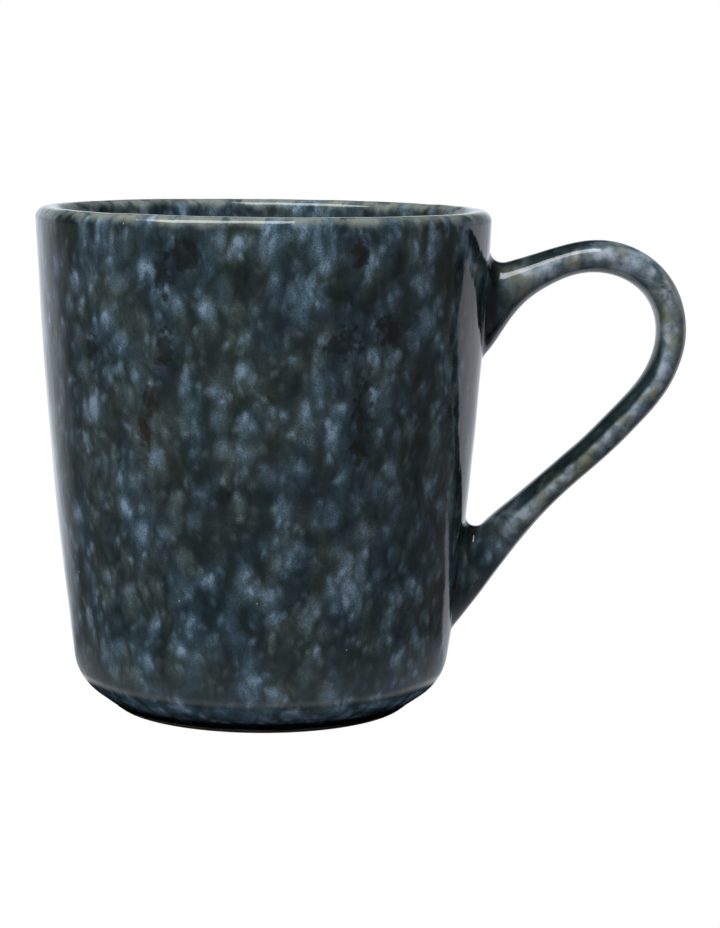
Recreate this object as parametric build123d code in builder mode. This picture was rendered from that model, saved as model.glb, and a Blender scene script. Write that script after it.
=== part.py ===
"""Glazed stoneware mug with a looped handle.

Units are millimetres. The origin is the centre of the foot ring on the table,
+Z is up and the handle stands out towards +X.

A cup, a separate handle and the slip that sticks the two together are fired under
a coat of glaze. The glazed shape is modelled first, and the clay shape inside it
is the same shape, one coat smaller. The glaze is the difference between the two.
It stops short of the foot ring, which stays bare.
"""

import os

from build123d import *

# ---- Driving dimensions ----
HEIGHT = 94.0               # table to the crown of the lip
LIP_CORNER_RADIUS = 42.68    # outside, where the wall's line meets the crown
BASE_RADIUS = 35.1          # outside, where the wall turns in to the foot
BASE_HEIGHT = 5.6
WALL_BULGE = 0.7            # how far the wall swells past a straight cone
RIM_THICKNESS = 4.8
WALL_THICKNESS = 4.0
FLOOR_THICKNESS = 5.2

LIP_OUTER_ROUNDING = 2.2
LIP_INNER_ROUNDING = 2.2
LIP_INNER_TURN = 80.0       # degrees, from the inner wall over to the crown
LIP_INNER_START = 0.9       # below the crown, as a share of the inner rounding
BASE_ROUNDING = 9.0         # where the wall turns in to the foot
INSIDE_ROUNDING = 9.5       # where the wall meets the floor inside

FOOT_OUTER_RADIUS = 27.4
FOOT_INNER_RADIUS = 24.4
FOOT_ROUNDING = 0.6
RECESS_DEPTH = 2.2          # hollow under the floor, inside the foot ring
RECESS_ROUNDING = 1.0

GLAZE = 0.4                 # thickness of the coat
GLAZE_STOP_HEIGHT = 0.7     # the clay is bare below this
RIM_GLAZE_DEPTH = 3.2       # the thin coat on the lip, below the crown
SLIP = 0.6                  # layer of slip between handle and cup

UPPER_ROOT_FILLET = 2.4
LOWER_ROOT_FILLET = 1.8
ROOTS_PARTING_HEIGHT = 52.0  # between the upper and the lower root
HANDLE_COAT_DISTANCE = 4.0  # from the wall to where the handle's coat starts

# The handle, from inside the wall at the top, round the loop and into the wall
# again: x, z, thickness across the bow and width along Y.
HANDLE_STATIONS = [
    (34.5, 68.5, 13.0, 13.5),
    (39.3, 73.9, 12.4, 13.2),
    (42.9, 77.8, 11.0, 12.8),
    (48.4, 81.2, 7.8, 11.5),
    (55.2, 84.2, 6.2, 10.4),
    (62.2, 85.6, 6.3, 10.0),
    (69.2, 83.9, 6.3, 10.0),
    (74.6, 78.8, 6.0, 10.0),
    (76.5, 71.2, 5.8, 10.0),
    (74.4, 63.4, 5.6, 10.0),
    (68.7, 55.8, 5.7, 10.0),
    (61.9, 48.9, 5.6, 10.0),
    (55.3, 42.9, 5.7, 10.3),
    (49.7, 37.5, 6.4, 11.2),
    (45.0, 32.6, 7.6, 12.2),
    (40.5, 26.8, 8.1, 13.0),
    (36.0, 20.6, 8.0, 13.4),
    (30.5, 12.8, 6.6, 13.4),
]

# ---- Worked out from the driving dimensions ----
WALL_PULL_RADIUS = (LIP_CORNER_RADIUS + BASE_RADIUS) / 2 + 2 * WALL_BULGE
FLOOR_HEIGHT = RECESS_DEPTH + FLOOR_THICKNESS
INSIDE_TOP_RADIUS = LIP_CORNER_RADIUS - RIM_THICKNESS
INSIDE_BASE_RADIUS = BASE_RADIUS - WALL_THICKNESS
BEYOND = 10.0               # how far cutting shapes run past the mug

wall_direction = Vector(LIP_CORNER_RADIUS - BASE_RADIUS, 0, HEIGHT - BASE_HEIGHT).normalized()
RIM_PARTING_PLANE = Plane.XY.offset(HEIGHT - RIM_GLAZE_DEPTH)
HANDLE_PARTING_PLANE = Plane(
    origin=(BASE_RADIUS + HANDLE_COAT_DISTANCE, 0, BASE_HEIGHT),
    z_dir=(wall_direction.Z, 0, -wall_direction.X),
)

# Half sections are drawn on the side away from the handle, so that the seam of
# each revolved face stays clear of the handle's roots.
SECTION_PLANE = Plane((0, 0, 0), x_dir=(-1, 0, 0), z_dir=(0, 1, 0))


# ---- Half sections of the cup ----
def grown(points, grow):
    """Points of an outline moved square to its sides, to the right of its travel."""
    corners = [Vector(*point) for point in points]
    sides = [(end - start).normalized() for start, end in zip(corners, corners[1:])]
    outwards = [Vector(side.Y, -side.X) for side in sides]
    befores = outwards[:1] + outwards
    afters = outwards + outwards[-1:]
    return [
        corner + (before + after) * (grow / (1 + before.dot(after)))
        for corner, before, after in zip(corners, befores, afters)
    ]


def cup_section(grow):
    """The cup without its hollows, grown outwards by grow (drawn in if negative)."""
    axis_foot, foot, base, wall_pull, lip, axis_lip = grown(
        [
            (-BEYOND, 0),
            (FOOT_OUTER_RADIUS, 0),
            (BASE_RADIUS, BASE_HEIGHT),
            (WALL_PULL_RADIUS, HEIGHT / 2),
            (LIP_CORNER_RADIUS, HEIGHT),
            (-BEYOND, HEIGHT),
        ],
        grow,
    )
    roundings = [
        (foot, FOOT_ROUNDING + grow),
        (base, BASE_ROUNDING + grow),
        (lip, LIP_OUTER_ROUNDING + grow),
    ]
    with BuildSketch(SECTION_PLANE) as section:
        with BuildLine():
            Polyline(axis_foot, foot, base)
            Bezier(base, wall_pull, lip)
            Polyline(lip, axis_lip, axis_foot)
        make_face()
        for corner, radius in roundings:
            fillet(section.vertices().sort_by_distance(corner)[0], radius)
        split(bisect_by=Plane.YZ)
    return section.sketch


def hollow_section(grow):
    """The hollow inside the cup, up past the lip, grown by grow."""
    base = Vector(INSIDE_BASE_RADIUS, FLOOR_HEIGHT)
    top = Vector(INSIDE_TOP_RADIUS, HEIGHT)
    lip_start = top - (top - base).normalized() * (LIP_INNER_START * LIP_INNER_ROUNDING)
    with BuildSketch(SECTION_PLANE) as section:
        with BuildLine():
            inside = Polyline((-BEYOND, FLOOR_HEIGHT), base, lip_start)
            lip = JernArc(inside @ 1, inside % 1, LIP_INNER_ROUNDING, -LIP_INNER_TURN)
            Polyline(
                lip @ 1,
                (LIP_CORNER_RADIUS, HEIGHT + BEYOND),
                (-BEYOND, HEIGHT + BEYOND),
                (-BEYOND, FLOOR_HEIGHT),
            )
        make_face()
        fillet(section.vertices().sort_by_distance(base)[0], INSIDE_ROUNDING)
        if grow:
            offset(amount=grow)
        split(bisect_by=Plane.YZ)
    return section.sketch


def recess_section(grow):
    """The hollow under the floor, inside the foot ring, grown by grow."""
    with BuildSketch(SECTION_PLANE) as section:
        with BuildLine():
            Polyline(
                (-BEYOND, -BEYOND),
                (FOOT_INNER_RADIUS, -BEYOND),
                (FOOT_INNER_RADIUS, RECESS_DEPTH),
                (-BEYOND, RECESS_DEPTH),
                close=True,
            )
        make_face()
        corner = section.vertices().sort_by_distance((FOOT_INNER_RADIUS, RECESS_DEPTH))[0]
        fillet(corner, RECESS_ROUNDING)
        if grow:
            offset(amount=grow)
        split(bisect_by=Plane.YZ)
    return section.sketch


# ---- Solids made with and without the coat ----
def cup_solid(grow):
    """The cup without its hollows, grown by grow."""
    with BuildPart() as cup:
        revolve(cup_section(grow), axis=Axis.Z)
    return cup.part


def handle_solid(grow):
    """The handle as one loft, its ends buried in the wall."""
    with BuildPart() as handle:
        with BuildLine(Plane.XZ):
            bow = Spline(*[(x, z) for x, z, _, _ in HANDLE_STATIONS])
        for x, z, thickness, width in HANDLE_STATIONS:
            along = bow.tangent_at(bow.param_at_point((x, 0, z)))
            with BuildSketch(Plane((x, 0, z), x_dir=(0, 1, 0), z_dir=along)):
                Ellipse(width / 2 + grow, thickness / 2 + grow)
        loft()
    return handle.part


def mug_solid(grow):
    """Cup and handle grown together, with filleted roots, and hollowed out."""
    with BuildPart() as mug:
        revolve(cup_section(grow), axis=Axis.Z)
        add(handle_solid(grow))
        roots = mug.edges(Select.NEW)
        upper_root = roots.filter_by_position(Axis.Z, ROOTS_PARTING_HEIGHT, HEIGHT)
        lower_root = roots.filter_by_position(Axis.Z, 0, ROOTS_PARTING_HEIGHT)
        fillet(upper_root, UPPER_ROOT_FILLET - grow)
        fillet(lower_root, LOWER_ROOT_FILLET - grow)
        revolve(hollow_section(-grow), axis=Axis.Z, mode=Mode.SUBTRACT)
        revolve(recess_section(-grow), axis=Axis.Z, mode=Mode.SUBTRACT)
    return mug.part


glazed_mug = mug_solid(0)
clay_mug = mug_solid(-GLAZE)

# ---- Clay: cup with its bare foot ring ----
with BuildPart() as bare_foot:
    revolve(cup_section(0), axis=Axis.Z)
    split(bisect_by=Plane.XY.offset(GLAZE_STOP_HEIGHT), keep=Keep.BOTTOM)
    revolve(recess_section(0), axis=Axis.Z, mode=Mode.SUBTRACT)

with BuildPart() as cup_body:
    revolve(cup_section(-GLAZE), axis=Axis.Z)
    revolve(hollow_section(GLAZE), axis=Axis.Z, mode=Mode.SUBTRACT)
    revolve(recess_section(GLAZE), axis=Axis.Z, mode=Mode.SUBTRACT)
    add(bare_foot.part)

# ---- Clay: the handle, cut off just short of the wall ----
with BuildPart() as handle:
    add(clay_mug)
    add(cup_solid(SLIP - GLAZE), mode=Mode.SUBTRACT)

# ---- Slip: the layer under each root and the fillet worked up round it ----
with BuildPart() as slip:
    add(clay_mug)
    add(handle.part, mode=Mode.SUBTRACT)
    add(cup_solid(-GLAZE), mode=Mode.SUBTRACT)

lower_slip, upper_slip = slip.solids().sort_by(Axis.Z)

with BuildPart() as upper_joint_slip:
    add(upper_slip)

with BuildPart() as lower_joint_slip:
    add(lower_slip)

# ---- Glaze: one coat, parted where its finish changes ----
with BuildPart() as coat:
    add(glazed_mug)
    add(clay_mug, mode=Mode.SUBTRACT)
    split(bisect_by=Plane.XY.offset(GLAZE_STOP_HEIGHT), keep=Keep.TOP)

with BuildPart() as rim_glaze:
    add(coat.part)
    split(bisect_by=RIM_PARTING_PLANE, keep=Keep.TOP)

with BuildPart() as coat_below_rim:
    add(coat.part)
    split(bisect_by=RIM_PARTING_PLANE, keep=Keep.BOTTOM)

recess_coat, inside_coat, outside_coat = coat_below_rim.solids().sort_by(
    lambda solid: solid.bounding_box().max.X
)

with BuildPart() as underside_glaze:
    add(recess_coat)

with BuildPart() as lining_glaze:
    add(inside_coat)

with BuildPart() as outside_glaze:
    add(outside_coat)
    split(bisect_by=HANDLE_PARTING_PLANE, keep=Keep.BOTTOM)

with BuildPart() as handle_glaze:
    add(outside_coat)
    split(bisect_by=HANDLE_PARTING_PLANE, keep=Keep.TOP)

# ---- Write one STEP file for each node ----
NODES = {
    "cup_body": cup_body,
    "handle": handle,
    "upper_joint_slip": upper_joint_slip,
    "lower_joint_slip": lower_joint_slip,
    "outside_glaze": outside_glaze,
    "handle_glaze": handle_glaze,
    "rim_glaze": rim_glaze,
    "lining_glaze": lining_glaze,
    "underside_glaze": underside_glaze,
}

os.makedirs("parts", exist_ok=True)
for node_name, node in NODES.items():
    node.part.label = node_name
    export_step(node.part, f"parts/{node_name}.step")
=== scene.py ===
"""Looks of the glazed stoneware mug: glaze skins, materials, light and camera.

Blender 4.5. Shapes are worked out in millimetres, in the frame of the CAD model,
and scaled to metres when a mesh is made. The clay and the slip are the CAD nodes.
The glaze is rebuilt here as smooth closed skins that lie where the CAD glaze lies:
the cup's skins are turned from one outline, and the handle's skin runs out onto
the wall in the same fillets. The slight waviness of the fired surface is real
geometry, and like the pattern of the glaze it is one function of place for every
skin, so the skins meet without a seam.
"""

import math

import bpy
import numpy as np
from mathutils import Matrix, Vector


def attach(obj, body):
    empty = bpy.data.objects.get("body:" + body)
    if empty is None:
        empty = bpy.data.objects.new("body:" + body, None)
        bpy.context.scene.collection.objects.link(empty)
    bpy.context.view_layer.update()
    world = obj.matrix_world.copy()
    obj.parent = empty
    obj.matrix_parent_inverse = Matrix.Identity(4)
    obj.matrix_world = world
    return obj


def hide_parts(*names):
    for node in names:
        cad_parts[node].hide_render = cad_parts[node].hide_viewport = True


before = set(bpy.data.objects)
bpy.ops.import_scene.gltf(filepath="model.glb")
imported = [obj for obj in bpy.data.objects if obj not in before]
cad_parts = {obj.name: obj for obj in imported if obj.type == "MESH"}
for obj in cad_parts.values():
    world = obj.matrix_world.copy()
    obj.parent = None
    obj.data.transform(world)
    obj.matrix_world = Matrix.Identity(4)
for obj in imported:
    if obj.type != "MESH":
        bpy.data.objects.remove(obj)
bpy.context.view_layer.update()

MM = 0.001

# ---- Sizes of the glazed shape, in millimetres, as in the CAD model ----
HEIGHT = 94.0
LIP_CORNER_RADIUS = 42.68
BASE_RADIUS = 35.1
BASE_HEIGHT = 5.6
WALL_BULGE = 0.7
RIM_THICKNESS = 4.8
WALL_THICKNESS = 4.0
FLOOR_HEIGHT = 7.4
LIP_OUTER_ROUNDING = 2.2
LIP_INNER_ROUNDING = 2.2
BASE_ROUNDING = 9.0
WALL_ROUNDING = 850.0       # the long arc of the swelling wall
INSIDE_ROUNDING = 9.5
FOOT_OUTER_RADIUS = 27.4
FOOT_INNER_RADIUS = 24.4
RECESS_DEPTH = 2.2
RECESS_ROUNDING = 1.0
GLAZE = 0.4
GLAZE_STOP_HEIGHT = 0.7
RIM_GLAZE_BOTTOM = 90.8
UPPER_ROOT_FILLET = 2.4
LOWER_ROOT_FILLET = 1.8
ROOTS_PARTING_HEIGHT = 52.0

# The handle's stations: x, z, thickness across the bow and width along Y.
HANDLE_STATIONS = np.array([
    (34.5, 68.5, 13.0, 13.5),
    (39.3, 73.9, 12.4, 13.2),
    (42.9, 77.8, 11.0, 12.8),
    (48.4, 81.2, 7.8, 11.5),
    (55.2, 84.2, 6.2, 10.4),
    (62.2, 85.6, 6.3, 10.0),
    (69.2, 83.9, 6.3, 10.0),
    (74.6, 78.8, 6.0, 10.0),
    (76.5, 71.2, 5.8, 10.0),
    (74.4, 63.4, 5.6, 10.0),
    (68.7, 55.8, 5.7, 10.0),
    (61.9, 48.9, 5.6, 10.0),
    (55.3, 42.9, 5.7, 10.3),
    (49.7, 37.5, 6.4, 11.2),
    (45.0, 32.6, 7.6, 12.2),
    (40.5, 26.8, 8.1, 13.0),
    (36.0, 20.6, 8.0, 13.4),
    (30.5, 12.8, 6.6, 13.4),
])

# ---- Fineness of the meshes ----
ROUND_DIVISIONS = 320       # round the cup
ROW_STEP = 0.9              # mm between rows of the cup
CORNER_ROWS = 10            # least rows round a rounded corner
HANDLE_DIVISIONS = 72       # round the handle's section
HANDLE_ROWS = 170           # along the handle
ROOT_ROWS = 12              # of the handle's skin on the wall, round each root
BOW_SAMPLES = 480           # along the handle's centre line


# ---- Outlines ----
def straight_points(start, end):
    """Points from start, left out, to end."""
    count = max(1, round(np.linalg.norm(end - start) / ROW_STEP))
    return [start + (end - start) * k / count for k in range(1, count + 1)]


def corner_points(before, corner, after, rounding):
    """Points of the arc that rounds a corner, both ends included."""
    way_in = (corner - before) / np.linalg.norm(corner - before)
    way_out = (after - corner) / np.linalg.norm(after - corner)
    turn = math.atan2(way_in[0] * way_out[1] - way_in[1] * way_out[0], way_in @ way_out)
    start = corner - way_in * rounding * math.tan(abs(turn) / 2)
    to_centre = np.array([-way_in[1], way_in[0]]) * math.copysign(rounding, turn)
    centre = start + to_centre
    count = max(CORNER_ROWS, round(rounding * abs(turn) / ROW_STEP))
    angles = [turn * k / count for k in range(count + 1)]
    return [
        centre - np.array([
            to_centre[0] * math.cos(angle) - to_centre[1] * math.sin(angle),
            to_centre[0] * math.sin(angle) + to_centre[1] * math.cos(angle),
        ])
        for angle in angles
    ]


def rounded_outline(corners):
    """Points (r, z) along an outline whose (r, z, rounding) corners are rounded."""
    places = [np.array(corner[:2], float) for corner in corners]
    points = [places[0]]
    for before, corner, after, (_, _, rounding) in zip(places, places[1:], places[2:], corners[1:]):
        arc = corner_points(before, corner, after, rounding)
        points += straight_points(points[-1], arc[0]) + arc[1:]
    points += straight_points(points[-1], places[-1])
    return np.array(points)


bevel_slope = (BASE_RADIUS - FOOT_OUTER_RADIUS) / BASE_HEIGHT
wall_pull_radius = (LIP_CORNER_RADIUS + BASE_RADIUS) / 2 + 2 * WALL_BULGE

# Up the outside, over the lip and down the inside to the middle of the floor.
COAT_OUTLINE = rounded_outline([
    (FOOT_OUTER_RADIUS + bevel_slope * GLAZE_STOP_HEIGHT, GLAZE_STOP_HEIGHT, 0),
    (BASE_RADIUS, BASE_HEIGHT, BASE_ROUNDING),
    (wall_pull_radius, HEIGHT / 2, WALL_ROUNDING),
    (LIP_CORNER_RADIUS, HEIGHT, LIP_OUTER_ROUNDING),
    (LIP_CORNER_RADIUS - RIM_THICKNESS, HEIGHT, LIP_INNER_ROUNDING),
    (BASE_RADIUS - WALL_THICKNESS, FLOOR_HEIGHT, INSIDE_ROUNDING),
    (0, FLOOR_HEIGHT, 0),
])
RECESS_OUTLINE = rounded_outline([
    (0, RECESS_DEPTH, 0),
    (FOOT_INNER_RADIUS, RECESS_DEPTH, RECESS_ROUNDING),
    (FOOT_INNER_RADIUS, GLAZE_STOP_HEIGHT - 2 * ROW_STEP, 0),
])
RECESS_OUTLINE = RECESS_OUTLINE[RECESS_OUTLINE[:, 1] > GLAZE_STOP_HEIGHT - 0.01]


# ---- Waviness of the fired surface ----
WAVE_COUNT = 28
WAVE_LENGTHS = (7.0, 22.0)  # mm
WAVE_HEIGHT = 0.025         # mm, each way, for most waves
WAVE_DEPTH = 0.07           # mm, mean depth, so that no crest stands proud
wave_random = np.random.default_rng(11)
wave_ways = wave_random.normal(size=(WAVE_COUNT, 3))
wave_ways /= np.linalg.norm(wave_ways, axis=1)[:, None]
wave_ways *= 2 * math.pi / wave_random.uniform(*WAVE_LENGTHS, size=WAVE_COUNT)[:, None]
wave_starts = wave_random.uniform(0, 2 * math.pi, WAVE_COUNT)


def waviness(points):
    """How far the surface is drawn in at each point, in millimetres."""
    waves = np.sin(points @ wave_ways.T + wave_starts).sum(axis=-1) * math.sqrt(2 / WAVE_COUNT)
    return WAVE_DEPTH + WAVE_HEIGHT * np.clip(waves, -2, 2)


# ---- Grids of points: rows by columns, closed round the columns ----
def grid_normals(grid):
    """Unit normals of a grid, out of the glaze."""
    along = np.gradient(grid, axis=0)
    around = np.roll(grid, -1, axis=1) - np.roll(grid, 1, axis=1)
    normals = np.cross(around, along)
    return normals / np.maximum(np.linalg.norm(normals, axis=2, keepdims=True), 1e-12)


def turned_grid(outline):
    """The outline turned round the Z axis."""
    angles = np.arange(ROUND_DIVISIONS) * 2 * math.pi / ROUND_DIVISIONS
    r = np.maximum(outline[:, :1], 1e-4)
    z = np.repeat(outline[:, 1:], ROUND_DIVISIONS, axis=1)
    return np.stack([r * np.cos(angles), r * np.sin(angles), z], axis=2)


def waved(grid):
    """The grid drawn in by its waviness."""
    return grid - grid_normals(grid) * waviness(grid)[..., None]


# ---- Skins ----
def grid_faces(rows, columns):
    """Faces of a grid as rows of four point numbers."""
    row, column = np.meshgrid(np.arange(rows - 1), np.arange(columns), indexing="ij")
    next_column = (column + 1) % columns
    corners = [
        row * columns + column,
        row * columns + next_column,
        (row + 1) * columns + next_column,
        (row + 1) * columns + column,
    ]
    return np.stack([corner.ravel() for corner in corners], axis=1)


def merged_poles(faces, grid):
    """The faces as lists, with each end row of no radius merged into one point."""
    rows, columns = grid.shape[:2]
    pole_start = {}
    for row in (0, rows - 1):
        if np.ptp(grid[row], axis=0).max() < 0.01:
            pole_start.update({row * columns + k: row * columns for k in range(columns)})
    lists = [list(dict.fromkeys(pole_start.get(k, k) for k in face)) for face in faces.tolist()]
    return [face for face in lists if len(face) > 2]


def skin(name, grid, normals, depth, node, left_out=None):
    """A closed skin between the grid and its copy further in, standing for a CAD node."""
    layer = grid.shape[0] * grid.shape[1]
    faces = grid_faces(*grid.shape[:2])
    if left_out is not None:
        faces = faces[~left_out.ravel()[faces].all(axis=1)]
    outer = merged_poles(faces, grid)
    inner = [[k + layer for k in reversed(face)] for face in outer]
    edges = {(a, b) for face in outer for a, b in zip(face, face[1:] + face[:1])}
    rims = sorted((a, b) for a, b in edges if (b, a) not in edges)
    strips = [[b, a, a + layer, b + layer] for a, b in rims]
    inner_grid = grid - normals * np.broadcast_to(depth, grid.shape[:2])[..., None]
    points = np.concatenate([grid.reshape(-1, 3), inner_grid.reshape(-1, 3)]) * MM
    directions = np.concatenate([normals.reshape(-1, 3), -normals.reshape(-1, 3)])
    used = np.unique(np.concatenate([np.ravel(face) for face in outer + inner]))
    number = np.full(len(points), -1)
    number[used] = np.arange(len(used))
    all_faces = [number[face].tolist() for face in outer + inner + strips]

    mesh = bpy.data.meshes.new(name)
    mesh.from_pydata(points[used].tolist(), [], all_faces)
    smooth = [True] * (len(outer) + len(inner)) + [False] * len(strips)
    mesh.polygons.foreach_set("use_smooth", smooth)
    corner_normals = [directions[k] for face in outer + inner for k in face]
    corner_normals += [Vector((0, 0, 0))] * sum(len(face) for face in strips)
    mesh.normals_split_custom_set([tuple(normal) for normal in corner_normals])
    piece = bpy.data.objects.new(name, mesh)
    bpy.context.scene.collection.objects.link(piece)
    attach(piece, "root")
    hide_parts(node)
    return piece


# ---- The handle's surface ----
def spline(values, places, at):
    """A cubic spline through values at places, read at other places.

    It leaves each end in the way of the cubic through the four points nearest to it.
    """
    gaps = np.diff(places)[:, None]
    rises = np.diff(values, axis=0) / gaps
    first_slope = np.polyfit(places[:4] - places[0], values[:4], 3)[-2]
    last_slope = np.polyfit(places[-4:] - places[-1], values[-4:], 3)[-2]
    matrix = np.zeros((len(places), len(places)))
    matrix[0, :2] = 2 * gaps[0, 0], gaps[0, 0]
    matrix[-1, -2:] = gaps[-1, 0], 2 * gaps[-1, 0]
    for k in range(1, len(places) - 1):
        matrix[k, k - 1 : k + 2] = gaps[k - 1, 0], 2 * (gaps[k - 1, 0] + gaps[k, 0]), gaps[k, 0]
    right = 6 * np.diff(np.vstack([first_slope, rises, last_slope]), axis=0)
    bends = np.linalg.solve(matrix, right)
    k = np.clip(np.searchsorted(places, at) - 1, 0, len(places) - 2)
    ahead = (at - places[k])[:, None]
    back = gaps[k] - ahead
    cubic = (bends[k] * back**3 + bends[k + 1] * ahead**3) / (6 * gaps[k])
    before = (values[k] / gaps[k] - bends[k] * gaps[k] / 6) * back
    after = (values[k + 1] / gaps[k] - bends[k + 1] * gaps[k] / 6) * ahead
    return cubic + before + after


station_steps = np.linalg.norm(np.diff(HANDLE_STATIONS[:, :2], axis=0), axis=1)
station_places = np.concatenate([[0], np.cumsum(station_steps)])
bow_length = station_places[-1]
nudge = 0.01
bow_ways = spline(HANDLE_STATIONS[:, :2], station_places, station_places + nudge)
bow_ways -= spline(HANDLE_STATIONS[:, :2], station_places, station_places - nudge)
bow_ways /= np.linalg.norm(bow_ways, axis=1)[:, None]
bow_outwards = np.stack([-bow_ways[:, 1], bow_ways[:, 0]], axis=1)

# At each station: x, z, half thickness as a vector (x, z) and half width. The loft
# runs a spline through the stations along each line of its surface.
station_table = np.column_stack([
    HANDLE_STATIONS[:, :2],
    bow_outwards * HANDLE_STATIONS[:, 2:3] / 2,
    HANDLE_STATIONS[:, 3] / 2,
])
bow_table = spline(station_table, station_places, np.linspace(0, bow_length, BOW_SAMPLES))


def bow_at(sample):
    """The bow's line, half thickness vector and half width at fractional samples."""
    numbers = np.arange(BOW_SAMPLES)
    columns = np.stack([np.interp(sample, numbers, column) for column in bow_table.T], axis=-1)
    return columns[..., 0:2], columns[..., 2:4], columns[..., 4]


def handle_distance(points):
    """About how far points are from the handle's surface, exact where it is zero."""
    plan = points[:, [0, 2]]
    gaps = plan[:, None] - bow_table[None, :, :2]
    sample = np.argmin((gaps**2).sum(axis=2), axis=1).astype(float)
    for _ in range(4):
        line, across, half_width = bow_at(sample)
        gap = plan - line
        half = np.linalg.norm(across, axis=1)
        along = (gap[:, 0] * across[:, 1] - gap[:, 1] * across[:, 0]) / half
        sample += along / bow_length * (BOW_SAMPLES - 1)
    line, across, half_width = bow_at(sample)
    half = np.linalg.norm(across, axis=1)
    offset = np.stack([((plan - line) * across).sum(axis=1) / half, points[:, 1]], axis=1)
    halves = np.stack([half, half_width], axis=1)
    size = np.linalg.norm(offset / halves, axis=1)
    slope = np.linalg.norm(offset / halves**2, axis=1)
    return size * (size - 1) / np.maximum(slope, 1e-9)


outer_wall = COAT_OUTLINE[: int(np.argmax(COAT_OUTLINE[:, 1]))]


def wall_distance(points):
    """How far points are outside the cup's outer wall."""
    place = np.stack([np.hypot(points[:, 0], points[:, 1]), points[:, 2]], axis=1)
    runs = np.diff(outer_wall, axis=0)
    offsets = place[:, None] - outer_wall[None, :-1]
    parts = np.clip((offsets * runs).sum(axis=2) / (runs**2).sum(axis=1), 0, 1)
    gaps = offsets - parts[..., None] * runs
    best = np.argmin((gaps**2).sum(axis=2), axis=1)
    gap = gaps[np.arange(len(points)), best]
    side = runs[best, 1] * gap[:, 0] - runs[best, 0] * gap[:, 1]
    return np.linalg.norm(gap, axis=1) * np.sign(side)


def root_fillet(points):
    """Radius of the fillet at the root nearest to each point."""
    return np.where(points[:, 2] > ROOTS_PARTING_HEIGHT, UPPER_ROOT_FILLET, LOWER_ROOT_FILLET)


def slope_of(distance, points):
    """Unit vectors along the gradient of a distance at points."""
    step = 0.02
    slopes = [distance(points + shift) - distance(points - shift) for shift in np.eye(3) * step]
    slopes = np.stack(slopes, axis=1)
    return slopes / np.linalg.norm(slopes, axis=1)[:, None]


def fillet_end_gap(points):
    """How far points on the wall are past the end of the handle's fillet."""
    facing = (slope_of(wall_distance, points) * slope_of(handle_distance, points)).sum(axis=1)
    return handle_distance(points) - root_fillet(points) * (1 - facing)


def settled_on_wall(points):
    """Points moved square to the wall until they lie on it."""
    for _ in range(2):
        points = points - slope_of(wall_distance, points) * wall_distance(points)[:, None]
    return points


def settled_on_glaze(points):
    """Points moved onto the wall and handle with the fillet of a rolling ball between."""
    for _ in range(6):
        wall = wall_distance(points)[:, None]
        handle = handle_distance(points)[:, None]
        wall_out = slope_of(wall_distance, points)
        handle_out = slope_of(handle_distance, points)
        radius = root_fillet(points)[:, None]
        facing = (wall_out * handle_out).sum(axis=1)[:, None]
        spread = np.maximum(1 - facing**2, 1e-6)
        wall_share = (radius - wall - facing * (radius - handle)) / spread
        handle_share = (radius - handle - facing * (radius - wall)) / spread
        to_ball = wall_share * wall_out + handle_share * handle_out
        ball_gap = np.linalg.norm(to_ball, axis=1)[:, None]
        in_fillet = (wall_share > 0) & (handle_share > 0)
        nearer = np.where(wall < handle, wall * wall_out, handle * handle_out)
        points = points - np.where(in_fillet, to_ball * (radius / ball_gap - 1), nearer)
    return points


section_angles = -np.arange(HANDLE_DIVISIONS) * 2 * math.pi / HANDLE_DIVISIONS


def handle_points(place):
    """Points of the plain handle, one for each section angle, at places along the bow."""
    line, across, half_width = bow_at(place / bow_length * (BOW_SAMPLES - 1))
    return np.stack([
        line[..., 0] + across[..., 0] * np.cos(section_angles),
        half_width * np.sin(section_angles),
        line[..., 1] + across[..., 1] * np.cos(section_angles),
    ], axis=-1)


def bisected(is_short, low, high):
    """Values between low and high where is_short turns false, for each column."""
    low = np.full(HANDLE_DIVISIONS, float(low))
    high = np.full(HANDLE_DIVISIONS, float(high))
    for _ in range(26):
        middle = (low + high) / 2
        short = is_short(middle)
        low, high = np.where(short, middle, low), np.where(short, high, middle)
    return (low + high) / 2


def wall_crossing(inside, outside):
    """Places along the bow where the handle's lines come out of the wall."""
    return bisected(lambda place: wall_distance(handle_points(place)) < 0, inside, outside)


ROOT_MARGIN = 0.5           # mm of the handle's skin on the wall, past its fillet
ROOT_SINK = 0.05            # how deep the skin's edge is sunk there
ROOT_EDGE = 0.08            # thickness of that edge
ROOT_REACH = 14.0           # the skin's edge is nearer than this to the crossing
ROOT_HOLE_MARGIN = 1.0      # the wall's skin runs this far in under the fillet


def root_rows(crossing):
    """Rows of the handle's skin on the wall, from the crossing to past the fillet."""
    square = slope_of(wall_distance, crossing)
    away = slope_of(handle_distance, crossing)
    away -= square * (away * square).sum(axis=1)[:, None]
    away /= np.linalg.norm(away, axis=1)[:, None]

    def on_wall(reach):
        return settled_on_wall(crossing + away * reach[:, None])

    reach = bisected(lambda reach: fillet_end_gap(on_wall(reach)) < ROOT_MARGIN, 0, ROOT_REACH)
    return np.stack([on_wall(reach * k / ROOT_ROWS) for k in range(1, ROOT_ROWS + 1)])


def handle_grid():
    """The handle's filleted surface, from the wall round the upper root to the lower."""
    upper = wall_crossing(0, bow_length / 2)
    lower = wall_crossing(bow_length, bow_length / 2)
    parts = np.linspace(0, 1, HANDLE_ROWS)[:, None]
    along = handle_points(upper + (lower - upper) * parts)
    grid = np.concatenate([root_rows(along[0])[::-1], along, root_rows(along[-1])])
    points = grid.reshape(-1, 3)
    near_wall = wall_distance(points) < 2 * UPPER_ROOT_FILLET
    points[near_wall] = settled_on_glaze(points[near_wall])
    return points.reshape(grid.shape)


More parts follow.
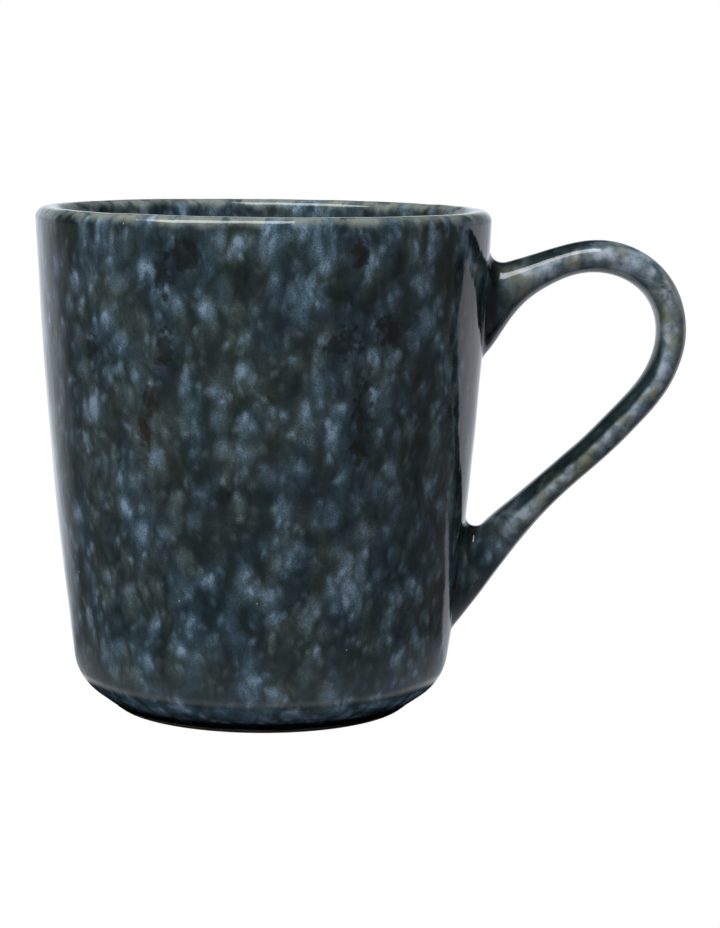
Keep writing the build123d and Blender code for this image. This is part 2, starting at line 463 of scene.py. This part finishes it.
# ---- Skins of the cup ----
coat_grid = waved(turned_grid(COAT_OUTLINE))
coat_normals = grid_normals(coat_grid)
crown_row = int(np.argmax(COAT_OUTLINE[:, 1]))
rows_below_rim = np.nonzero(COAT_OUTLINE[:, 1] <= RIM_GLAZE_BOTTOM)[0]
rim_first = int(rows_below_rim[rows_below_rim < crown_row].max())
rim_last = int(rows_below_rim[rows_below_rim > crown_row].min())
coat_points = coat_grid.reshape(-1, 3)
beside_handle = coat_points[:, 0] > FOOT_OUTER_RADIUS
under_roots = np.zeros(len(coat_points), bool)
under_roots[beside_handle] = fillet_end_gap(coat_points[beside_handle]) < -ROOT_HOLE_MARGIN
under_roots = under_roots.reshape(coat_grid.shape[:2])
under_roots[crown_row:] = False     # the lining is whole


def coat_skin(name, first, last, node):
    """The part of the cup's coat between two rows of its grid."""
    rows = slice(first, last + 1)
    return skin(name, coat_grid[rows], coat_normals[rows], GLAZE, node, under_roots[rows])


outside_skin = coat_skin("outside_glaze_skin", 0, rim_first, "outside_glaze")
rim_skin = coat_skin("rim_glaze_skin", rim_first, rim_last, "rim_glaze")
lining_skin = coat_skin("lining_glaze_skin", rim_last, len(coat_grid) - 1, "lining_glaze")

recess_grid = waved(turned_grid(RECESS_OUTLINE))
underside_skin = skin(
    "underside_glaze_skin", recess_grid, grid_normals(recess_grid), GLAZE, "underside_glaze"
)

# ---- Skin of the handle ----
bare_grid = handle_grid()
bare_points = bare_grid.reshape(-1, 3)
past_fillet = np.clip(fillet_end_gap(bare_points) / ROOT_MARGIN, 0, 1)
on_the_wall = wall_distance(bare_points) < ROOT_SINK
sink = (past_fillet * on_the_wall * ROOT_SINK).reshape(bare_grid.shape[:2])
thickness = np.clip(wall_distance(bare_points), ROOT_EDGE, GLAZE).reshape(bare_grid.shape[:2])
wavy_grid = waved(bare_grid)
wavy_normals = grid_normals(wavy_grid)
handle_skin = skin(
    "handle_glaze_skin",
    wavy_grid - wavy_normals * sink[..., None],
    wavy_normals,
    thickness,
    "handle_glaze",
)


# ---- Node graphs ----
class Graph:
    """Short ways to add nodes to a tree and join them; each returns an output socket."""

    def __init__(self, tree):
        self.nodes = tree.nodes
        self.links = tree.links
        self.nodes.clear()

    def add(self, kind, inputs=(), **settings):
        """A node with settings, its inputs given by name or number as values or sockets."""
        node = self.nodes.new(kind)
        for name, value in settings.items():
            setattr(node, name, value)
        for key, value in dict(inputs).items():
            if isinstance(value, bpy.types.NodeSocket):
                self.links.new(value, node.inputs[key])
            else:
                node.inputs[key].default_value = value
        return node

    def math(self, operation, *values):
        return self.add("ShaderNodeMath", dict(enumerate(values)), operation=operation).outputs[0]

    def product(self, first, second):
        return self.math("MULTIPLY", first, second)

    def vector(self, operation, *values, scale=None):
        inputs = dict(enumerate(values))
        if scale is not None:
            inputs["Scale"] = scale
        node = self.add("ShaderNodeVectorMath", inputs, operation=operation)
        return node.outputs["Value" if operation in ("DOT_PRODUCT", "LENGTH") else "Vector"]

    def step(self, value, low, high):
        """0 at low, 1 at high and smooth between; high may be the smaller one."""
        inputs = {"Value": value, "From Min": low, "From Max": high}
        return self.add("ShaderNodeMapRange", inputs, interpolation_type="SMOOTHSTEP").outputs[0]

    def noise(self, place, size, detail=2.0, roughness=0.5, output="Fac"):
        """Soft noise in lumps about size apart."""
        inputs = {"Vector": place, "Scale": 1 / size, "Detail": detail, "Roughness": roughness}
        return self.add("ShaderNodeTexNoise", inputs).outputs[output]

    def cells(self, place, size, output="Distance"):
        """Distance from scattered points about size apart."""
        inputs = {"Vector": place, "Scale": 1 / size, "Randomness": 1.0}
        return self.add("ShaderNodeTexVoronoi", inputs).outputs[output]

    def mix(self, factor, first, second, blend="MIX"):
        """A mix of two colours."""
        node = self.add("ShaderNodeMix", data_type="RGBA", blend_type=blend)
        for key, value in ((0, factor), (6, first), (7, second)):
            if isinstance(value, bpy.types.NodeSocket):
                self.links.new(value, node.inputs[key])
            else:
                node.inputs[key].default_value = value
        return node.outputs[2]

    def curve(self, value, stops):
        """Colour by value through (place, colour) stops."""
        node = self.add("ShaderNodeValToRGB", {"Fac": value})
        elements = node.color_ramp.elements
        while len(elements) < len(stops):
            elements.new(0.5)
        for element, (place, colour) in zip(elements, stops):
            element.position = place
            element.color = colour
        return node.outputs["Color"]


def rgb(red, green, blue):
    """An opaque colour."""
    return (red, green, blue, 1.0)


# ---- The fired glaze: one pattern, by place in millimetres ----
def outer_radius(z):
    """Radius of the outer wall at a height."""
    return float(np.interp(z, outer_wall[:, 1], outer_wall[:, 0]))


RUN_STRETCH = 1.65          # how far the mottles are drawn out down the wall
DRIP_STRETCH = 4.0          # and the drips from the rim
DRIFT = 3.2                 # how far the mottles are pushed about, from end to end
STREAK_HEIGHT = 6.0         # of the unevenness down the wall, against the mottles
GLAZE_ROUGHNESS = 0.06
HANDLE_START = 46.0         # x past which a place is on the handle
HANDLE_PALENESS = 1.15      # paleness towards which the handle's mottles draw
PAINTED_SHADE_WAY = (-0.7, 0.0, 0.7)  # the side of the handle that painted shade darkens

# The outer wall's radius as a straight line between two heights.
LOW_ON_WALL = 15.0
HIGH_ON_WALL = 85.0
WALL_LEAN = (outer_radius(HIGH_ON_WALL) - outer_radius(LOW_ON_WALL)) / (HIGH_ON_WALL - LOW_ON_WALL)
WALL_START = outer_radius(LOW_ON_WALL) - LOW_ON_WALL * WALL_LEAN

# Colour of the glaze by its paleness, and the tints of its blue and olive parts.
GLAZE_COLOURS = [
    (0.05, rgb(0.005, 0.0105, 0.013)),
    (0.30, rgb(0.0148, 0.0285, 0.0338)),
    (0.42, rgb(0.025, 0.043, 0.054)),
    (0.55, rgb(0.0385, 0.066, 0.085)),
    (0.70, rgb(0.070, 0.115, 0.150)),
    (0.86, rgb(0.136, 0.195, 0.252)),
    (1.00, rgb(0.225, 0.295, 0.370)),
]
BLUE_TINT = rgb(0.95, 1.0, 1.05)
OLIVE_TINT = rgb(1.26, 1.05, 0.82)
THIN_BLUE = rgb(0.31, 0.36, 0.42)
THIN_OLIVE = rgb(0.19, 0.20, 0.15)
LIP_OLIVE = rgb(0.22, 0.235, 0.18)
LIP_GREY = rgb(0.15, 0.19, 0.20)
PATCH_BLACK = rgb(0.005, 0.007, 0.008)
PATCH_BROWN = rgb(0.027, 0.011, 0.006)
PATCH_PLAIN = rgb(0.005, 0.008, 0.006)  # where a patch is not brown at all
WHITE_SPECK = rgb(0.6, 0.62, 0.6)

# Where the glaze crawled and broke dark: azimuth in degrees from the front, positive
# to the right, height, half width, half height and how brown the patch is.
DARK_PATCHES = [
    (-27.0, 62.0, 1.7, 3.4, 1.0),
    (-29.0, 55.0, 1.3, 4.0, 0.8),
    (-22.0, 71.5, 1.5, 3.5, 0.1),
    (-45.0, 69.5, 1.8, 3.6, 0.0),
    (-23.0, 83.0, 2.0, 4.0, 0.0),
    (-17.0, 87.0, 2.6, 3.0, 0.1),
    (22.0, 72.5, 3.4, 3.0, 0.0),
    (34.0, 74.0, 2.6, 3.6, 0.2),
    (28.0, 61.0, 2.2, 5.5, 0.0),
    (27.0, 52.5, 1.4, 3.0, 0.4),
    (25.0, 88.0, 1.8, 2.6, 0.4),
    (148.0, 70.0, 2.4, 6.0, 0.4),
    (-140.0, 52.0, 3.0, 5.0, 0.2),
]


def patch_mask(g, place, azimuth, height, half_width, half_height):
    """1 within a dark patch of the outer wall, with a ragged edge."""
    radius = outer_radius(height)
    angle = math.radians(azimuth)
    middle = (radius * math.sin(angle), -radius * math.cos(angle), height)
    offset = g.vector("SUBTRACT", place, middle)
    scaled = g.vector("DIVIDE", offset, (half_width, half_width, half_height))
    reach = lifted(g, g.vector("LENGTH", scaled), g.noise(place, 1.6), 2.4)
    return g.step(reach, 1.15, 0.55)


def spots(g, place, size, full, none):
    """Scattered soft spots about size apart, brightest at their upper ends."""
    above = g.vector("ADD", place, (0.0, 0.0, 0.3 * size))
    here, overhead = [g.step(g.cells(spot, size), none, full) for spot in (place, above)]
    return g.product(here, g.math("MULTIPLY_ADD", overhead, -0.55, 1.0))


def lifted(g, level, value, strength, middle=0.5):
    """The level raised by strength times the value's distance from its middle."""
    return g.math("MULTIPLY_ADD", g.math("SUBTRACT", value, middle), strength, level)


def mottled(g, place, running, drips):
    """How pale the glaze is where nothing but its own mottles shows."""
    pale = lifted(g, 0.52, g.noise(place, 15.0, detail=1.0), 0.2)
    pale = lifted(g, pale, g.noise(running, 5.2, detail=3.0, roughness=0.6), 1.3)
    pale = lifted(g, pale, g.noise(running, 2.2), 0.3)
    pale = lifted(g, pale, spots(g, running, 3.8, 0.10, 0.64), 0.44, middle=0.26)
    pale = lifted(g, pale, spots(g, running, 2.2, 0.08, 0.50), 0.30, middle=0.12)
    z = g.add("ShaderNodeSeparateXYZ", {0: place}).outputs[2]
    near_rim = g.step(z, 80.0, 93.0)
    pale = lifted(g, pale, drips, g.product(near_rim, 0.8))
    return lifted(g, pale, g.noise(place, 0.28, detail=1.0), g.product(pale, 0.7))


def glaze_group():
    """A node group that gives the glaze's colour and height at each place."""
    group = bpy.data.node_groups.new("fired_glaze", "ShaderNodeTree")
    group.interface.new_socket("Color", in_out="OUTPUT", socket_type="NodeSocketColor")
    group.interface.new_socket("Height", in_out="OUTPUT", socket_type="NodeSocketFloat")
    g = Graph(group)
    coordinates = g.add("ShaderNodeTexCoord").outputs["Object"]
    place = g.vector("SCALE", coordinates, scale=1 / MM)
    x, _, z = g.add("ShaderNodeSeparateXYZ", {0: place}).outputs

    # Mottles drift a little and are drawn out down the wall.
    drift = g.noise(place, 6.0, detail=1.0, output="Color")
    drift = g.vector("SCALE", g.vector("SUBTRACT", drift, (0.5, 0.5, 0.5)), scale=DRIFT)
    drifted = g.vector("ADD", place, drift)
    running = g.vector("MULTIPLY", drifted, (1.0, 1.0, 1 / RUN_STRETCH))
    dripping = g.vector("MULTIPLY", place, (1.0, 1.0, 1 / DRIP_STRETCH))
    drips = g.noise(dripping, 2.4)
    pale = mottled(g, place, running, drips)

    # The handle is paler; it is darker on its roots within a few millimetres of the wall, and
    # painted shade darkens its side that faces up and to the left.
    on_handle = g.step(x, HANDLE_START - 3, HANDLE_START + 4)
    to_handle = g.math("SUBTRACT", HANDLE_PALENESS, pale)
    pale = lifted(g, pale, g.product(to_handle, on_handle), 0.35, middle=0.0)
    radius = g.vector("LENGTH", g.vector("MULTIPLY", place, (1.0, 1.0, 0.0)))
    wall = g.math("MULTIPLY_ADD", z, WALL_LEAN, WALL_START)
    clear = g.math("SUBTRACT", radius, wall)
    # Darker from about 0.1 to 3.6 mm out from the wall, on the handle's roots.
    darker_near_wall = g.product(g.step(clear, 0.1, 0.6), g.step(clear, 3.6, 1.2))
    on_outside = g.step(x, HANDLE_START - 8, HANDLE_START - 6)
    pale = lifted(g, pale, g.product(darker_near_wall, on_outside), -0.4, middle=0.0)
    # Painted shade: the handle is darkened where its normal faces up and to the left.
    normal = g.add("ShaderNodeNewGeometry").outputs["Normal"]
    painted_shade = g.product(g.step(g.vector("DOT_PRODUCT", normal, PAINTED_SHADE_WAY), 0.4, 0.75), on_handle)
    pale = lifted(g, pale, painted_shade, -0.5, middle=0.0)

    # The bevel has a pale row under its corner, and painted shade darkens it near the foot.
    below_corner = g.product(g.step(z, 2.0, 3.0), g.step(z, 6.4, 5.2))
    pale = lifted(g, pale, below_corner, 0.24, middle=0.0)
    pale = lifted(g, pale, g.step(z, 2.7, 1.6), -0.5, middle=0.0)

    # Dark and middle tones are olive in places; the palest are blue but on the handle.
    colour = g.curve(pale, GLAZE_COLOURS)
    olive_tone = g.step(g.noise(running, 6.5), 0.35, 0.68)
    olive_tone = g.product(olive_tone, g.math("MAXIMUM", on_handle, g.step(pale, 0.85, 0.58)))
    colour = g.mix(1.0, colour, g.mix(olive_tone, BLUE_TINT, OLIVE_TINT), "MULTIPLY")

    # The handle's glaze is thin and pale, but not on the side of painted shade nor in the darker
    # band by the wall.
    thin = g.product(on_handle, g.math("SUBTRACT", 1.0, g.math("MAXIMUM", painted_shade, darker_near_wall)))
    thin = g.product(thin, g.step(g.noise(drifted, 2.6, detail=3.0), 0.36, 0.66))
    thin_tone = g.step(g.noise(place, 4.5), 0.44, 0.58)
    colour = g.mix(thin, colour, g.mix(thin_tone, THIN_BLUE, THIN_OLIVE))

    # The thin glaze over the lip breaks pale olive, with a ragged lower edge.
    ragged = lifted(g, z, g.noise(dripping, 4.0, detail=3.0), 5.0)
    uncovered = g.math("MULTIPLY_ADD", g.step(drips, 0.50, 0.66), -0.85, 1.0)
    broken = g.product(g.step(ragged, 91.8, 94.2), uncovered)
    colour = g.mix(broken, colour, g.mix(g.noise(place, 3.0), LIP_OLIVE, LIP_GREY))

    # Dark and brown patches.
    warped = g.vector("ADD", place, g.vector("SCALE", drift, scale=0.8))
    patchy = g.step(g.noise(running, 1.8), 0.4, 0.6)
    for azimuth, height, half_width, half_height, brown in DARK_PATCHES:
        mask = patch_mask(g, warped, azimuth, height, half_width, half_height)
        breaks = g.mix(brown, PATCH_PLAIN, PATCH_BROWN)
        colour = g.mix(g.product(mask, 0.8), colour, g.mix(patchy, PATCH_BLACK, breaks))

    # Rare small white specks.
    white_specks = g.product(g.step(g.cells(place, 7.0), 0.025, 0.014), 0.6)
    colour = g.mix(white_specks, colour, WHITE_SPECK)

    out = g.add("NodeGroupOutput")
    g.links.new(colour, out.inputs["Color"])
    height = g.math("MULTIPLY_ADD", g.noise(dripping, 5.0), STREAK_HEIGHT, pale)
    g.links.new(height, out.inputs["Height"])
    return group


fired_glaze = glaze_group()


def glaze_material(name):
    """Glossy glaze, faintly raised where it is pale and in streaks down the wall."""
    material = bpy.data.materials.new(name)
    material.use_nodes = True
    g = Graph(material.node_tree)
    pattern = g.add("ShaderNodeGroup", node_tree=fired_glaze)
    bump = g.add("ShaderNodeBump", {
        "Height": pattern.outputs["Height"],
        "Strength": 0.1,
        "Distance": 0.2 * MM,
    })
    surface = g.add("ShaderNodeBsdfPrincipled", {
        "Base Color": pattern.outputs["Color"],
        "Roughness": GLAZE_ROUGHNESS,
        "IOR": 1.5,
        "Normal": bump.outputs[0],
    })
    g.add("ShaderNodeOutputMaterial", {"Surface": surface.outputs[0]})
    return material


for piece in (outside_skin, rim_skin, lining_skin, underside_skin, handle_skin):
    piece.data.materials.append(glaze_material(piece.name.replace("_skin", "")))


# ---- Bare clay and slip ----
def clay_material(name):
    """Matt, finely grained brown stoneware."""
    material = bpy.data.materials.new(name)
    material.use_nodes = True
    g = Graph(material.node_tree)
    place = g.vector("SCALE", g.add("ShaderNodeTexCoord").outputs["Object"], scale=1 / MM)
    tone = g.noise(place, 0.7, detail=4.0, roughness=0.65)
    colour = g.curve(tone, [
        (0.3, rgb(0.20, 0.15, 0.11)),
        (0.7, rgb(0.34, 0.27, 0.20)),
    ])
    bump = g.add("ShaderNodeBump", {
        "Height": g.noise(place, 0.35, detail=3.0),
        "Strength": 0.5,
        "Distance": 0.1 * MM,
    })
    surface = g.add("ShaderNodeBsdfPrincipled", {
        "Base Color": colour,
        "Roughness": 0.85,
        "Normal": bump.outputs[0],
    })
    g.add("ShaderNodeOutputMaterial", {"Surface": surface.outputs[0]})
    return material


clay = clay_material("stoneware_clay")
slip = clay_material("fired_slip")
node_materials = {
    "cup_body": clay, "handle": clay, "upper_joint_slip": slip, "lower_joint_slip": slip,
}
for node_name, material in node_materials.items():
    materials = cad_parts[node_name].data.materials
    materials.clear()
    materials.append(material)


# ---- The studio's light: a bright backdrop behind, a dim room in front ----
# Azimuths are in degrees, 0 behind the mug and positive to the right.
BACKDROP_LIGHT = 0.90
BACKDROP_TINT = (0.93, 1.0, 1.11)
BACKDROP_EDGES = (-74, -26, 60, 64)     # dark, full, full and dark again
BACKDROP_FALL = 0.45                    # how much dimmer it is on the right
ROOM_EDGES = (-90, -70, 66, 76)         # the dim room begins outside these
ROOM_LIGHT = 0.10
FLOOR_LIGHT = 0.08
CEILING_LIGHT = 0.12


def band(g, angle, edges):
    """1 between the middle two edges, fading to 0 at the outer two, in degrees."""
    start, full, end_full, end = [math.radians(edge) for edge in edges]
    return g.product(g.step(angle, start, full), g.step(angle, end, end_full))


def backdrop_band(g, azimuth):
    """How bright the backdrop is by azimuth."""
    right = g.step(azimuth, 0.0, math.radians(35))
    fall = g.math("MULTIPLY_ADD", right, -BACKDROP_FALL, 1.0)
    return g.product(band(g, azimuth, BACKDROP_EDGES), fall)


def studio_light(g, backdrop, dim):
    """The colour of the light from the backdrop and from the dim room."""
    light = g.vector("SCALE", BACKDROP_TINT, scale=g.product(backdrop, BACKDROP_LIGHT))
    grey = g.add("ShaderNodeCombineXYZ", {0: dim, 1: dim, 2: dim}).outputs[0]
    return g.vector("ADD", light, grey)


def white_to_camera(g, light, kind):
    """A light-giving node of a kind that shows the light to all but the camera."""
    seen = g.add("ShaderNodeLightPath").outputs["Is Camera Ray"]
    return g.add(kind, {"Color": g.mix(seen, light, rgb(1, 1, 1)), "Strength": 1.0}).outputs[0]


# ---- Floor: white to the camera, and as dim as the mug's reflections show it ----
FLOOR_SIDE = 6.0
FLOOR_DROP = 0.0002         # keeps the floor clear of the foot
floor_mesh = bpy.data.meshes.new("floor")
half = FLOOR_SIDE / 2
floor_mesh.from_pydata(
    [(-half, -half, 0), (half, -half, 0), (half, half, 0), (-half, half, 0)], [], [(0, 1, 2, 3)]
)
floor = bpy.data.objects.new("floor", floor_mesh)
floor.location.z = -FLOOR_DROP
bpy.context.scene.collection.objects.link(floor)


def floor_material():
    """Light the floor gives to reflections: bright behind and close by, with a lit ring under the
    mug's corner and a painted shadow under the mug.
    """
    material = bpy.data.materials.new("pale_floor")
    material.use_nodes = True
    g = Graph(material.node_tree)
    place = g.vector("SCALE", g.add("ShaderNodeTexCoord").outputs["Object"], scale=1 / MM)
    x, y, _ = g.add("ShaderNodeSeparateXYZ", {0: place}).outputs
    radius = g.vector("LENGTH", g.vector("MULTIPLY", place, (1.0, 1.0, 0.0)))
    near_glow = g.product(g.step(radius, 80.0, 50.0), 0.35)
    bright = g.math("MAXIMUM", backdrop_band(g, g.math("ARCTAN2", x, y)), near_glow)
    dim = g.math("MULTIPLY_ADD", g.step(radius, 60.0, 160.0), 0.06, FLOOR_LIGHT)
    ring = g.product(g.step(radius, 35.5, 38.0), g.step(radius, 42.5, 39.0))
    light = studio_light(g, bright, g.math("MULTIPLY_ADD", ring, 0.3, dim))
    # Painted shadow: the floor gives no light under the mug.
    light = g.vector("SCALE", light, scale=g.step(radius, 35.0, 39.0))
    surface = white_to_camera(g, light, "ShaderNodeEmission")
    g.add("ShaderNodeOutputMaterial", {"Surface": surface})
    return material


floor_mesh.materials.append(floor_material())


# ---- Surroundings, seen by the mug's reflections; white to the camera ----
world = bpy.data.worlds.new("studio")
bpy.context.scene.world = world
world.use_nodes = True
g = Graph(world.node_tree)
direction = g.add("ShaderNodeTexCoord").outputs["Generated"]
x, y, z = g.add("ShaderNodeSeparateXYZ", {0: direction}).outputs
azimuth = g.math("ARCTAN2", x, y)
elevation = g.math("ARCSINE", z)


def by_elevation(start, end):
    """0 at the elevation start and 1 at end, in degrees."""
    return g.step(elevation, math.radians(start), math.radians(end))


backdrop = g.product(backdrop_band(g, azimuth), by_elevation(25, 5))
sides = g.math("SUBTRACT", 1.0, band(g, azimuth, ROOM_EDGES))
room = g.product(g.product(sides, by_elevation(30, 10)), ROOM_LIGHT)
ceiling = g.product(by_elevation(25, 70), CEILING_LIGHT)
light = studio_light(g, backdrop, g.math("ADD", room, ceiling))
background = white_to_camera(g, light, "ShaderNodeBackground")
g.add("ShaderNodeOutputWorld", {"Surface": background})


# ---- Softboxes ----
def softbox(name, place, width, height, radiance, facing=(0, 0, -1)):
    """A lit rectangle, its place in metres, its long side level."""
    data = bpy.data.lights.new(name, "AREA")
    data.shape = "RECTANGLE"
    data.size = width
    data.size_y = height
    data.energy = radiance * math.pi * width * height
    light = bpy.data.objects.new(name, data)
    bpy.context.scene.collection.objects.link(light)
    light.location = place
    light.rotation_mode = "QUATERNION"
    light.rotation_quaternion = Vector(facing).to_track_quat("-Z", "Y")
    light.visible_camera = False
    return light


softbox("overhead_softbox", (-0.31, -0.27, 1.05), 0.95, 0.52, 7.5)
fill = softbox("front_fill", (-0.25, -1.0, 0.75), 0.9, 0.6, 6.5, facing=(0.25, 1.0, -0.7))
fill.visible_glossy = False


# ---- Camera ----
CAMERA_PLACE = Vector((0.02018, -0.49014, 0.11455))
CAMERA_YAW = -0.0036
CAMERA_PITCH = 0.1395       # down
CAMERA_ROLL = 0.0119
CAMERA_LENS = 101.37

camera_data = bpy.data.cameras.new("camera")
camera_data.lens = CAMERA_LENS
camera_data.sensor_width = 36.0
camera_data.clip_start = 0.01
camera = bpy.data.objects.new("camera", camera_data)
bpy.context.scene.collection.objects.link(camera)
ahead = Vector((
    math.sin(CAMERA_YAW) * math.cos(CAMERA_PITCH),
    math.cos(CAMERA_YAW) * math.cos(CAMERA_PITCH),
    -math.sin(CAMERA_PITCH),
))
level_right = Vector((math.cos(CAMERA_YAW), -math.sin(CAMERA_YAW), 0))
level_up = level_right.cross(ahead)
right = level_right * math.cos(CAMERA_ROLL) + level_up * math.sin(CAMERA_ROLL)
up = level_up * math.cos(CAMERA_ROLL) - level_right * math.sin(CAMERA_ROLL)
turned = Matrix((right, up, -ahead)).transposed().to_4x4()
camera.matrix_world = Matrix.Translation(CAMERA_PLACE) @ turned
bpy.context.scene.camera = camera
bpy.context.scene.view_settings.view_transform = "Standard"
